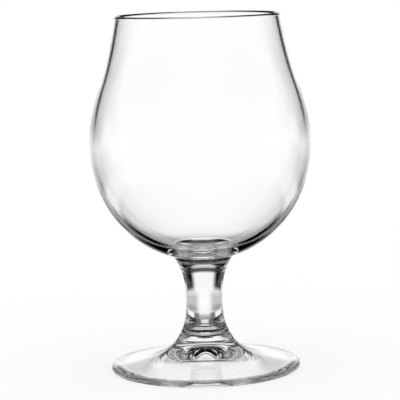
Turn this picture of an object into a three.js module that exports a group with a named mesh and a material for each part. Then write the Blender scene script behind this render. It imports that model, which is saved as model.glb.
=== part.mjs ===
// A stemmed tulip beer glass of clear soda-lime glass, in millimetres with +Z up.
// Three pieces of glass are fused end to end: a blown bowl, a drawn stem and a pressed foot.
// The origin is on the axis, level with the ring that the foot stands on.
import * as THREE from 'three';

// Foot
const footRadius = 42.8;
const footEdgeThickness = 2.6;
const footHeight = 16; // up to the seam with the stem
const footTopRise = 8.3; // degrees that the top face climbs from the edge
const restingRingWidth = 3;
const undersideRise = 8; // degrees that the hollow below climbs from the resting ring
const undersideHollow = 8.6; // height of the hollow under the middle of the foot

// Stem
const stemLength = 35.3; // from the foot's seam to the bowl's seam
const seamRadius = 11.4;
const seamLean = 28.4; // degrees from upright where the stem runs into the foot
const seamGrooveDepth = 0.35; // the shallow witness line round the fused seam
const seamGrooveWidth = 1.4;
const waistRadius = 8.17;
const waistHeight = 13.9; // above the foot's seam
const seatRadius = 13.4;
const seatLean = 35; // degrees from upright where the stem opens out under the bowl

// Bowl
const bowlHeight = 108.7;
const rimRadius = 36.9;
const rimLean = 10.3; // degrees that the wall leans inward at the rim
const rimWall = 1.9;
const lipRounding = 1.4; // height of the melted round on the lip
const shoulderRadius = 44.2;
const shoulderHeight = 77.8; // above the bowl's seam
const shoulderLean = 19.3;
const shoulderWall = 2;
const bellyRadius = 49.7;
const bellyHeight = 50.4; // above the bowl's seam
const bellyWall = 2.3;
const undersideLean = 72; // degrees from upright where the bowl leaves the stem
const floorThickness = 2.2; // glass between the bowl's seam and the drink, on the axis

// How strongly each end of a curve holds its heading, as a share of the curve's span
const evenPull = 1 / 3;
const bellyPull = 0.1;
const undersidePull = 0.58;
const wallPull = 0.38;
const floorPull = 0.43;
const waistPull = 0.51;
const seatPull = 0.25;
const footTopPull = 0.7;
const footNeckPull = 0.23;
const crownPull = 0.2;
const ringPull = 0.76;

// Greatest gap between a flat facet and the true round
const flatness = 0.06;

// Headings for an outline drawn in the plane of radius and height
const up = new THREE.Vector2(0, 1);
const down = new THREE.Vector2(0, -1);
const outward = new THREE.Vector2(1, 0);
const inward = new THREE.Vector2(-1, 0);

const stemHeight = footHeight + stemLength;
const overallHeight = stemHeight + bowlHeight;
const halfGroove = seamGrooveWidth / 2;
const grooveFlare = halfGroove * Math.tan(THREE.MathUtils.degToRad(seamLean));

// A heading turned by some degrees: up then leans inward, and down leans outward
function lean(heading, degrees) {
  return heading.clone().rotateAround(new THREE.Vector2(), THREE.MathUtils.degToRad(degrees));
}

// Carries an outline on to a point by a curve that leaves and arrives at the given headings
function bendTo(outline, radius, height, leaveHeading, leavePull, arriveHeading, arrivePull) {
  const start = outline.currentPoint;
  const end = new THREE.Vector2(radius, height);
  const span = start.distanceTo(end);
  const leave = start.clone().addScaledVector(leaveHeading, leavePull * span);
  const arrive = end.clone().addScaledVector(arriveHeading, -arrivePull * span);
  outline.bezierCurveTo(leave.x, leave.y, arrive.x, arrive.y, end.x, end.y);
}

// The angle that a curve turns through, in radians, whichever way it bends
function turning(curve) {
  const probes = 32;
  let total = 0;
  for (let step = 0; step < probes; step += 1) {
    const before = curve.getTangent(step / probes);
    const after = curve.getTangent((step + 1) / probes);
    total += before.angleTo(after);
  }
  return total;
}

// Points along an outline, with each curve cut into just enough flats to stay within the flatness
function facetPoints(outline) {
  const points = [outline.curves[0].getPoint(0)];
  for (const curve of outline.curves) {
    const steps = Math.ceil(Math.sqrt((curve.getLength() * turning(curve)) / (8 * flatness)));
    points.push(...curve.getPoints(Math.max(1, steps)).slice(1));
  }
  return points;
}

// Turns an outline round the upright axis into one closed piece of glass
function turned(name, outline, colour) {
  const turnSteps = Math.ceil(Math.PI / Math.acos(1 - flatness / bellyRadius));
  const geometry = new THREE.LatheGeometry(facetPoints(outline), turnSteps);
  geometry.rotateX(Math.PI / 2);
  const glass = new THREE.MeshStandardMaterial({
    color: colour,
    roughness: 0.03,
    metalness: 0,
    transparent: true,
    opacity: 0.35,
  });
  const piece = new THREE.Mesh(geometry, glass);
  piece.name = name;
  return piece;
}

// A round foot pressed to an even wall: a domed hollow below, a ring to stand on and a neck for the stem
function footOutline() {
  const outline = new THREE.Path();
  const edgeRound = footEdgeThickness / 2;
  const edgeCentre = footRadius - edgeRound;
  const ringInside = edgeCentre - restingRingWidth;
  const topTurn = THREE.MathUtils.degToRad(90 - footTopRise);
  outline.moveTo(0, undersideHollow);
  bendTo(outline, ringInside, 0, outward, crownPull, lean(outward, -undersideRise), ringPull);
  outline.lineTo(edgeCentre, 0);
  outline.absarc(edgeCentre, edgeRound, edgeRound, -Math.PI / 2, topTurn, false);
  bendTo(outline, seamRadius + grooveFlare, footHeight - halfGroove,
    lean(inward, -footTopRise), footTopPull, lean(up, seamLean), footNeckPull);
  outline.lineTo(seamRadius - seamGrooveDepth, footHeight);
  outline.lineTo(0, footHeight);
  return outline;
}

// A solid stem, slim at the waist, that opens into the foot below and under the bowl above
function stemOutline() {
  const outline = new THREE.Path();
  outline.moveTo(0, footHeight);
  outline.lineTo(seamRadius - seamGrooveDepth, footHeight);
  outline.lineTo(seamRadius - grooveFlare, footHeight + halfGroove);
  bendTo(outline, waistRadius, footHeight + waistHeight, lean(up, seamLean), evenPull, up, evenPull);
  bendTo(outline, seatRadius, stemHeight, up, waistPull, lean(up, -seatLean), seatPull);
  outline.lineTo(0, stemHeight);
  return outline;
}

// The bowl: a full belly, a shoulder that draws in, a melted lip and a wall that thickens to the floor
function bowlOutline() {
  const outline = new THREE.Path();
  const bellyLevel = stemHeight + bellyHeight;
  const shoulderLevel = stemHeight + shoulderHeight;
  const lipTurn = THREE.MathUtils.degToRad(rimLean);
  const halfLip = rimWall / 2;
  const lipCrest = Math.hypot(lipRounding * Math.cos(lipTurn), halfLip * Math.sin(lipTurn));
  const lipCentre = rimRadius - halfLip * Math.cos(lipTurn);
  const lipLevel = overallHeight - lipCrest;
  const lipTilt = halfLip * Math.sin(lipTurn);
  outline.moveTo(0, stemHeight);
  outline.lineTo(seatRadius, stemHeight);
  bendTo(outline, bellyRadius, bellyLevel, lean(up, -undersideLean), undersidePull, up, bellyPull);
  bendTo(outline, shoulderRadius, shoulderLevel, up, evenPull, lean(up, shoulderLean), evenPull);
  bendTo(outline, rimRadius, lipLevel + lipTilt,
    lean(up, shoulderLean), evenPull, lean(up, rimLean), evenPull);
  outline.absellipse(lipCentre, lipLevel, halfLip, lipRounding, 0, Math.PI, false, lipTurn);
  bendTo(outline, shoulderRadius - shoulderWall, shoulderLevel,
    lean(down, rimLean), evenPull, lean(down, shoulderLean), evenPull);
  bendTo(outline, bellyRadius - bellyWall, bellyLevel,
    lean(down, shoulderLean), evenPull, down, evenPull);
  bendTo(outline, 0, stemHeight + floorThickness, down, wallPull, inward, floorPull);
  return outline;
}

const glassColour = '#eef2f1';

const beerGlass = new THREE.Group();
beerGlass.add(turned('foot', footOutline(), glassColour));
beerGlass.add(turned('stem', stemOutline(), glassColour));
beerGlass.add(turned('bowl', bowlOutline(), glassColour));

export default beerGlass;
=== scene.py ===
import bpy
import math
from mathutils import Euler, Matrix, Vector
from mathutils.geometry import interpolate_bezier


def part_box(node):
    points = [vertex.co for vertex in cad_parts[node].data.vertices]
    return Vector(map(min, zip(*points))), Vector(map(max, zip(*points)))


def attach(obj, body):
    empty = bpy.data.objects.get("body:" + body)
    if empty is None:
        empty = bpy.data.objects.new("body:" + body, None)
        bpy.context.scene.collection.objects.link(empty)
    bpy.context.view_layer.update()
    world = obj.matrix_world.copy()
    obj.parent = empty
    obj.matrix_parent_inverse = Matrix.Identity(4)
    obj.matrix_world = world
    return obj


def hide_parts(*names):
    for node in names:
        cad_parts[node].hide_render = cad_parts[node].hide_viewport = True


# A clear stemmed beer glass: a blown bowl, a drawn stem and a pressed foot, fused end to end.
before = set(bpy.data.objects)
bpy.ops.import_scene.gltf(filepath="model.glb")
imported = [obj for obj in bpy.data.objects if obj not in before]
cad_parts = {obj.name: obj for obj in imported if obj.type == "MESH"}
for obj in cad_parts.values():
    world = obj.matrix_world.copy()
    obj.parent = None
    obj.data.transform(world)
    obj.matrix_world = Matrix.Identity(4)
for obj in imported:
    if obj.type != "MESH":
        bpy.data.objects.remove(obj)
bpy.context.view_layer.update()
mm = 0.001
print("frame loaded with", len(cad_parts), "pieces")

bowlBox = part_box("bowl")
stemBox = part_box("stem")
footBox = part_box("foot")
stemSeam = footBox[1].z  # where the foot ends and the stem starts
bowlSeam = stemBox[1].z  # where the stem ends and the bowl starts


# modelling helpers

turning = {
    "steps": 256,  # round the axis, fine enough that no flat shows in the refraction
    "mergeDistance": 0.0002,
    "crispAngle": 32,  # degrees between faces, past which an edge stays crisp
}

seamFaces = {
    "flatness": 0.999,  # upright share of a face's normal
    "reach": 0.01,  # height from the seam
}


def deselectAll():
    bpy.ops.object.select_all(action="DESELECT")


def heading(degrees):
    # 0 is up, 90 is out from the axis, 180 is down and 270 is in towards the axis
    turn = math.radians(degrees)
    return Vector((math.sin(turn), math.cos(turn)))


def bendTo(outline, end, leave, leavePull, arrive, arrivePull, steps):
    # carries an outline on by one curve, each pull being a share of the straight span
    start = outline[-1]
    span = (end - start).length
    first = start + heading(leave) * leavePull * span
    second = end - heading(arrive) * arrivePull * span
    outline.extend(interpolate_bezier(start, first, second, end, steps + 1)[1:])


def roundTo(outline, centre, across, along, fromTurn, toTurn, tilt, steps):
    # part of an ellipse in the plane of radius and height, tilted by some degrees
    lean = Matrix.Rotation(math.radians(tilt), 2)
    for step in range(1, steps + 1):
        turn = math.radians(fromTurn + (toTurn - fromTurn) * step / steps)
        outline.append(centre + lean @ Vector((across * math.cos(turn), along * math.sin(turn))))


def turnPiece(name, outline):
    # one point is drawn out along the outline, then spun round the axis
    deselectAll()
    bpy.ops.mesh.primitive_plane_add(size=mm, location=(0, 0, 0))
    piece = bpy.context.object
    piece.name = name
    piece.data.name = name
    bpy.ops.object.mode_set(mode="EDIT")
    bpy.ops.mesh.select_all(action="SELECT")
    bpy.ops.mesh.merge(type="CENTER")
    bpy.ops.transform.translate(value=(outline[0].x, 0, outline[0].y))
    for before, after in zip(outline, outline[1:]):
        step = after - before
        bpy.ops.mesh.extrude_region_move(TRANSFORM_OT_translate={"value": (step.x, 0, step.y)})
    bpy.ops.mesh.select_all(action="SELECT")
    bpy.ops.mesh.spin(steps=turning["steps"], angle=2 * math.pi, center=(0, 0, 0), axis=(0, 0, 1))
    bpy.ops.mesh.select_all(action="SELECT")
    bpy.ops.mesh.remove_doubles(threshold=turning["mergeDistance"] * mm)
    bpy.ops.mesh.normals_make_consistent(inside=False)
    bpy.ops.object.mode_set(mode="OBJECT")
    bpy.ops.object.shade_smooth_by_angle(angle=math.radians(turning["crispAngle"]))
    print(name, "turned with", len(piece.data.polygons), "faces")
    return piece


def dressPiece(piece, node, glass, seams):
    # glass all over, and the inner join where two pieces have melted into one
    piece.data.materials.append(glass)
    piece.data.materials.append(fusedJoin)
    for face in piece.data.polygons:
        flat = abs(face.normal.z) > seamFaces["flatness"]
        onSeam = any(abs(face.center.z - seam) < seamFaces["reach"] * mm for seam in seams)
        face.material_index = 1 if flat and onSeam else 0
    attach(piece, "root")
    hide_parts(node)


# material helpers

def linear(hexCode):
    parts = [int(hexCode[place:place + 2], 16) / 255 for place in (1, 3, 5)]
    return [part / 12.92 if part <= 0.04045 else ((part + 0.055) / 1.055) ** 2.4 for part in parts] + [1]


def addNode(tree, kind, settings, inputs):
    node = tree.nodes.new(kind)
    for name, value in settings.items():
        setattr(node, name, value)
    for name, value in inputs.items():
        if isinstance(value, bpy.types.NodeSocket):
            tree.links.new(value, node.inputs[name])
        else:
            node.inputs[name].default_value = value
    return node


def newMaterial(name):
    material = bpy.data.materials.new(name)
    material.use_nodes = True
    material.node_tree.nodes.clear()
    return material


# soda-lime glass: common table glass, shaped hot, so its skin is fire polished

sodaLime = {"colour": "#ffffff", "ior": 1.52}


def makeSodaLimeGlass(name, finish):
    # clear and colourless: its eye-catching lines are the room bent at its edges,
    # and a slow ripple left by the forming makes those lines waver a little;
    # gleam is how much of the room its faces mirror straight on, white being plain glass
    material = newMaterial(name)
    tree = material.node_tree
    place = addNode(tree, "ShaderNodeTexCoord", {}, {})
    wave = addNode(tree, "ShaderNodeMapping", {}, {
        "Vector": place.outputs["Object"],
        "Scale": [1 / (size * mm) for size in finish["waveSize"]]})
    ripple = addNode(tree, "ShaderNodeTexNoise", {}, {
        "Vector": wave.outputs["Vector"], "Scale": 1, "Detail": 0})
    surface = addNode(tree, "ShaderNodeBump", {}, {
        "Height": ripple.outputs["Fac"], "Distance": finish["waveHeight"] * mm, "Strength": 1})
    glass = addNode(tree, "ShaderNodeBsdfPrincipled", {}, {
        "Base Color": linear(sodaLime["colour"]), "Roughness": 0, "IOR": sodaLime["ior"],
        "Specular Tint": linear(finish["gleam"]), "Transmission Weight": 1,
        "Normal": surface.outputs["Normal"]})
    addNode(tree, "ShaderNodeOutputMaterial", {}, {"Surface": glass.outputs["BSDF"]})
    return material


def makeFusedJoin():
    # where hot glass met hot glass nothing is left to see, so light goes straight on
    material = newMaterial("fusedGlassJoin")
    tree = material.node_tree
    clear = addNode(tree, "ShaderNodeBsdfTransparent", {}, {"Color": linear("#ffffff")})
    addNode(tree, "ShaderNodeOutputMaterial", {}, {"Surface": clear.outputs["BSDF"]})
    return material


fusedJoin = makeFusedJoin()


# neck: the cone that foot and stem share, with the fine groove that marks their join

fusedNeck = {
    "radius": 11.4,  # at the seam
    "lean": 28.4,  # degrees from upright
    "grooveDepth": 0.35,
    "grooveWidth": 1.4,
}


def neckPoint(neck, side):
    # where the cone meets the groove, above the seam for a side of 1 and below it for -1
    rise = side * neck["grooveWidth"] / 2 * mm
    return Vector((neck["radius"] * mm - rise * math.tan(math.radians(neck["lean"])), stemSeam + rise))


def groovePoint(neck):
    return Vector(((neck["radius"] - neck["grooveDepth"]) * mm, stemSeam))


# foot: pressed round foot with a domed hollow, a ring to stand on and a short neck

pressedFoot = {
    "edgeThickness": 2.6,
    "topRise": 8.3,  # degrees that the top face climbs from the edge
    "ringWidth": 3,
    "hollow": 8.6,  # height of the dome under the middle
    "hollowRise": 8,  # degrees that the dome climbs from the ring
    "crownPull": 0.2,
    "ringPull": 0.76,
    "topPull": 0.7,
    "neckPull": 0.23,
    "curveSteps": 36,
    "glass": {"gleam": "#ffffff", "waveSize": (9, 9, 9), "waveHeight": 0.004},
}


def footOutline(shape, neck):
    edgeRound = shape["edgeThickness"] / 2 * mm
    edgeCentre = footBox[1].x - edgeRound
    steps = shape["curveSteps"]
    outline = [Vector((0, shape["hollow"] * mm))]
    bendTo(outline, Vector((edgeCentre - shape["ringWidth"] * mm, 0)),
           90, shape["crownPull"], 90 + shape["hollowRise"], shape["ringPull"], steps)
    outline.append(Vector((edgeCentre, 0)))
    roundTo(outline, Vector((edgeCentre, edgeRound)), edgeRound, edgeRound,
            -90, 90 - shape["topRise"], 0, steps // 2)
    bendTo(outline, neckPoint(neck, -1),
           270 + shape["topRise"], shape["topPull"], -neck["lean"], shape["neckPull"], steps)
    outline.append(groovePoint(neck))
    outline.append(Vector((0, stemSeam)))
    return outline


foot = turnPiece("pressedFoot", footOutline(pressedFoot, fusedNeck))
dressPiece(foot, "foot", makeSodaLimeGlass("pressedSodaLimeGlass", pressedFoot["glass"]), [stemSeam])


# stem: drawn from the hot glass, slim at the waist and open towards both ends

drawnStem = {
    "waistRadius": 8.17,
    "waistHeight": 13.9,  # above the foot's seam
    "seatRadius": 13.4,  # under the bowl
    "seatLean": 35,  # degrees from upright under the bowl
    "evenPull": 1 / 3,
    "waistPull": 0.51,
    "seatPull": 0.25,
    "curveSteps": 32,
    "glass": {"gleam": "#ffffff", "waveSize": (6, 6, 40), "waveHeight": 0.003},
}


def stemOutline(shape, neck):
    even = shape["evenPull"]
    steps = shape["curveSteps"]
    outline = [Vector((0, stemSeam)), groovePoint(neck), neckPoint(neck, 1)]
    bendTo(outline, Vector((shape["waistRadius"] * mm, stemSeam + shape["waistHeight"] * mm)),
           -neck["lean"], even, 0, even, steps)
    bendTo(outline, Vector((shape["seatRadius"] * mm, bowlSeam)),
           0, shape["waistPull"], shape["seatLean"], shape["seatPull"], steps)
    outline.append(Vector((0, bowlSeam)))
    return outline


stem = turnPiece("drawnStem", stemOutline(drawnStem, fusedNeck))
dressPiece(stem, "stem", makeSodaLimeGlass("drawnSodaLimeGlass", drawnStem["glass"]), [stemSeam, bowlSeam])


# bowl: blown full at the belly, drawn in at the shoulder, with a melted lip

blownBowl = {
    "undersideLean": 72,  # degrees from upright where the bowl leaves the stem
    "bellyHeight": 50.4,  # above the bowl's seam
    "bellyWall": 2.3,
    "shoulderRadius": 44.2,
    "shoulderHeight": 77.8,  # above the bowl's seam
    "shoulderLean": 19.3,
    "shoulderWall": 2,
    "rimRadius": 36.9,
    "rimLean": 10.3,
    "rimWall": 1.9,
    "lipRounding": 1.4,  # height of the melted round on the lip
    "floorThickness": 2.2,
    "evenPull": 1 / 3,
    "bellyPull": 0.1,
    "undersidePull": 0.58,
    "wallPull": 0.38,
    "floorPull": 0.43,
    "curveSteps": 28,
    # toned down, because the face of the bowl in the photograph mirrors nothing of the room
    "glass": {"gleam": "#666666", "waveSize": (16, 16, 22), "waveHeight": 0.003},
}


def bowlOutline(shape, seatRadius):
    belly = Vector((bowlBox[1].x, bowlSeam + shape["bellyHeight"] * mm))
    shoulder = Vector((shape["shoulderRadius"] * mm, bowlSeam + shape["shoulderHeight"] * mm))
    bellyWall = Vector((shape["bellyWall"] * mm, 0))
    shoulderWall = Vector((shape["shoulderWall"] * mm, 0))
    halfLip = shape["rimWall"] / 2 * mm
    lipRounding = shape["lipRounding"] * mm
    lipTurn = math.radians(shape["rimLean"])
    lipCrest = math.hypot(lipRounding * math.cos(lipTurn), halfLip * math.sin(lipTurn))
    lipCentre = Vector((shape["rimRadius"] * mm - halfLip * math.cos(lipTurn), bowlBox[1].z - lipCrest))
    lipEdge = Vector((shape["rimRadius"] * mm, lipCentre.y + halfLip * math.sin(lipTurn)))
    floor = Vector((0, bowlSeam + shape["floorThickness"] * mm))
    even = shape["evenPull"]
    lean = shape["shoulderLean"]
    rim = shape["rimLean"]
    steps = shape["curveSteps"]
    outline = [Vector((0, bowlSeam)), Vector((seatRadius * mm, bowlSeam))]
    bendTo(outline, belly, shape["undersideLean"], shape["undersidePull"], 0, shape["bellyPull"], 2 * steps)
    bendTo(outline, shoulder, 0, even, -lean, even, steps)
    bendTo(outline, lipEdge, -lean, even, -rim, even, steps)
    roundTo(outline, lipCentre, halfLip, lipRounding, 0, 180, rim, steps)
    bendTo(outline, shoulder - shoulderWall, 180 - rim, even, 180 - lean, even, steps)
    bendTo(outline, belly - bellyWall, 180 - lean, even, 180, even, steps)
    bendTo(outline, floor, 180, shape["wallPull"], 270, shape["floorPull"], 2 * steps)
    return outline


bowl = turnPiece("blownBowl", bowlOutline(blownBowl, drawnStem["seatRadius"]))
dressPiece(bowl, "bowl", makeSodaLimeGlass("blownSodaLimeGlass", blownBowl["glass"]), [bowlSeam])


# floor: a plain pale sheet, a little of it lit by the studio so that the glass keeps its soft shadow

paleFloor = {"size": 8, "colour": "#8f8f8f"}


def makeFloor(floor):
    deselectAll()
    bpy.ops.mesh.primitive_plane_add(size=floor["size"], location=(0, 0, 0))
    sheet = bpy.context.object
    sheet.name = "paleFloor"
    # matt white paper, drawn as a lit share of its white and a glow that makes up the rest
    material = newMaterial("paleSweepPaper")
    tree = material.node_tree
    colour = linear(floor["colour"])
    path = addNode(tree, "ShaderNodeLightPath", {}, {})
    paper = addNode(tree, "ShaderNodeBsdfDiffuse", {}, {"Color": colour})
    glow = addNode(tree, "ShaderNodeEmission", {}, {
        "Color": [1 - part for part in colour[:3]] + [1], "Strength": path.outputs["Is Camera Ray"]})
    both = addNode(tree, "ShaderNodeAddShader", {}, {0: paper.outputs["BSDF"], 1: glow.outputs["Emission"]})
    addNode(tree, "ShaderNodeOutputMaterial", {}, {"Surface": both.outputs["Shader"]})
    sheet.data.materials.append(material)
    sheet.visible_glossy = False  # the glass sees the studio's own table below instead
    sheet.visible_transmission = False


makeFloor(paleFloor)
print("floor laid")


# studio: white all round, with dark cards placed by direction to draw the edges of the glass
# azimuth is degrees to either side of straight behind the glass, elevation is degrees above level,
# soft is how far each edge fades to either side, and a card lies over those before it

studio = {
    "cards": [
        {"name": "ceiling", "azimuth": (27, 180), "elevation": (6, 90), "level": 0, "soft": (5, 4)},
        {"name": "sideWalls", "azimuth": (72, 108), "elevation": (6, 30), "level": 0.6, "soft": (6, 4)},
        {"name": "aboveBackdrop", "azimuth": (0, 27), "elevation": (45, 90), "level": 0, "soft": (5, 10)},
        {"name": "backdropTop", "azimuth": (0, 27), "elevation": (14, 26), "level": 0.1, "soft": (5, 3)},
        {"name": "frontWall", "azimuth": (115, 180), "elevation": (-6, 10), "level": 0.1, "soft": (10, 3)},
        {"name": "flags", "azimuth": (22, 56), "elevation": (-4, 38), "level": 0, "soft": (7, 3)},
        {"name": "flagsMirrored", "azimuth": (15, 74), "elevation": (-19, -6), "level": 0.5, "soft": (9, 3)},
        {"name": "flagsFoot", "azimuth": (22, 50), "elevation": (-19, -13), "level": 0.3, "soft": (9, 3)},
        {"name": "tableNear", "azimuth": (0, 25), "elevation": (-36, -22), "level": 0.4, "soft": (4, 4)},
        {"name": "tableFlank", "azimuth": (13, 27), "elevation": (-32, -20), "level": 0.2, "soft": (4, 2)},
        {"name": "tableBehind", "azimuth": (9, 70), "elevation": (-52, -30), "level": 0, "soft": (4, 2)},
        {"name": "tableFront", "azimuth": (70, 180), "elevation": (-90, -26), "level": 0.1, "soft": (6, 4)},
        {"name": "under", "azimuth": (0, 70), "elevation": (-90, -50), "level": 0, "soft": (8, 4)},
        {"name": "underFront", "azimuth": (80, 180), "elevation": (-90, -62), "level": 0.6, "soft": (8, 6)},
    ],
}


def hangCard(tree, card, across, upward, before):
    # lays one soft-edged card over what is there already
    masks = []
    for angle, span, soft, ends in ((across, card["azimuth"], card["soft"][0], (0, 180)),
                                    (upward, card["elevation"], card["soft"][1], (-90, 90))):
        for edge, end, start, stop in ((span[0], ends[0], 0, 1), (span[1], ends[1], 1, 0)):
            if edge != end:
                masks.append(addNode(tree, "ShaderNodeMapRange", {"interpolation_type": "SMOOTHSTEP"}, {
                    "Value": angle, "From Min": edge - soft, "From Max": edge + soft,
                    "To Min": start, "To Max": stop}).outputs["Result"])
    mask = masks[0]
    for other in masks[1:]:
        both = addNode(tree, "ShaderNodeMath", {"operation": "MULTIPLY"}, {0: mask, 1: other})
        mask = both.outputs["Value"]
    return addNode(tree, "ShaderNodeMapRange", {}, {
        "Value": mask, "To Min": before, "To Max": card["level"]}).outputs["Result"]


def makeStudio(room):
    world = bpy.data.worlds.new("brightFieldStudio")
    bpy.context.scene.world = world
    world.use_nodes = True
    tree = world.node_tree
    tree.nodes.clear()
    place = addNode(tree, "ShaderNodeTexCoord", {}, {})
    way = addNode(tree, "ShaderNodeSeparateXYZ", {}, {"Vector": place.outputs["Generated"]})
    sideways = addNode(tree, "ShaderNodeMath", {"operation": "ARCTAN2"}, {
        0: way.outputs["X"], 1: way.outputs["Y"]})
    eitherSide = addNode(tree, "ShaderNodeMath", {"operation": "ABSOLUTE"}, {0: sideways.outputs["Value"]})
    azimuth = addNode(tree, "ShaderNodeMath", {"operation": "DEGREES"}, {0: eitherSide.outputs["Value"]})
    rise = addNode(tree, "ShaderNodeMath", {"operation": "ARCSINE"}, {0: way.outputs["Z"]})
    elevation = addNode(tree, "ShaderNodeMath", {"operation": "DEGREES"}, {0: rise.outputs["Value"]})
    view = 1  # white, before the first card
    for card in room["cards"]:
        view = hangCard(tree, card, azimuth.outputs["Value"], elevation.outputs["Value"], view)
    # only the glass sees the cards: the floor is lit by plain white, and the background is white
    path = addNode(tree, "ShaderNodeLightPath", {}, {})
    inGlass = addNode(tree, "ShaderNodeMath", {"operation": "MAXIMUM"}, {
        0: path.outputs["Is Glossy Ray"], 1: path.outputs["Is Transmission Ray"]})
    shown = addNode(tree, "ShaderNodeMapRange", {}, {
        "Value": inGlass.outputs["Value"], "To Min": 1, "To Max": view})
    light = addNode(tree, "ShaderNodeBackground", {}, {"Color": shown.outputs["Result"], "Strength": 1})
    addNode(tree, "ShaderNodeOutputWorld", {}, {"Surface": light.outputs["Background"]})


makeStudio(studio)
print("studio hung with", len(studio["cards"]), "cards")


# camera: the photograph's own angle, a long lens a little above the glass

photoCamera = {
    "place": (0, -0.8529, 0.1903),
    "lookDown": 7.611,
    "roll": -1.512,
    "lens": 172.14,
    "sensor": 36,
    "shift": (-0.0043, 0.00125),
    "nearest": 0.01,
    "bounces": 24,  # light crosses many surfaces of glass before it leaves
}


def makeCamera(shot):
    deselectAll()
    bpy.ops.object.camera_add(location=shot["place"])
    camera = bpy.context.object
    camera.name = "photoCamera"
    tilt = Euler((math.radians(90 - shot["lookDown"]), 0, 0)).to_matrix()
    camera.rotation_euler = (tilt @ Matrix.Rotation(math.radians(shot["roll"]), 3, "Z")).to_euler()
    camera.data.sensor_width = shot["sensor"]
    camera.data.lens = shot["lens"]
    camera.data.shift_x, camera.data.shift_y = shot["shift"]
    camera.data.clip_start = shot["nearest"]
    scene = bpy.context.scene
    scene.camera = camera
    scene.view_settings.view_transform = "Standard"
    for limit in ("max_bounces", "transmission_bounces", "glossy_bounces", "transparent_max_bounces"):
        setattr(scene.cycles, limit, shot["bounces"])


makeCamera(photoCamera)
print("camera set")
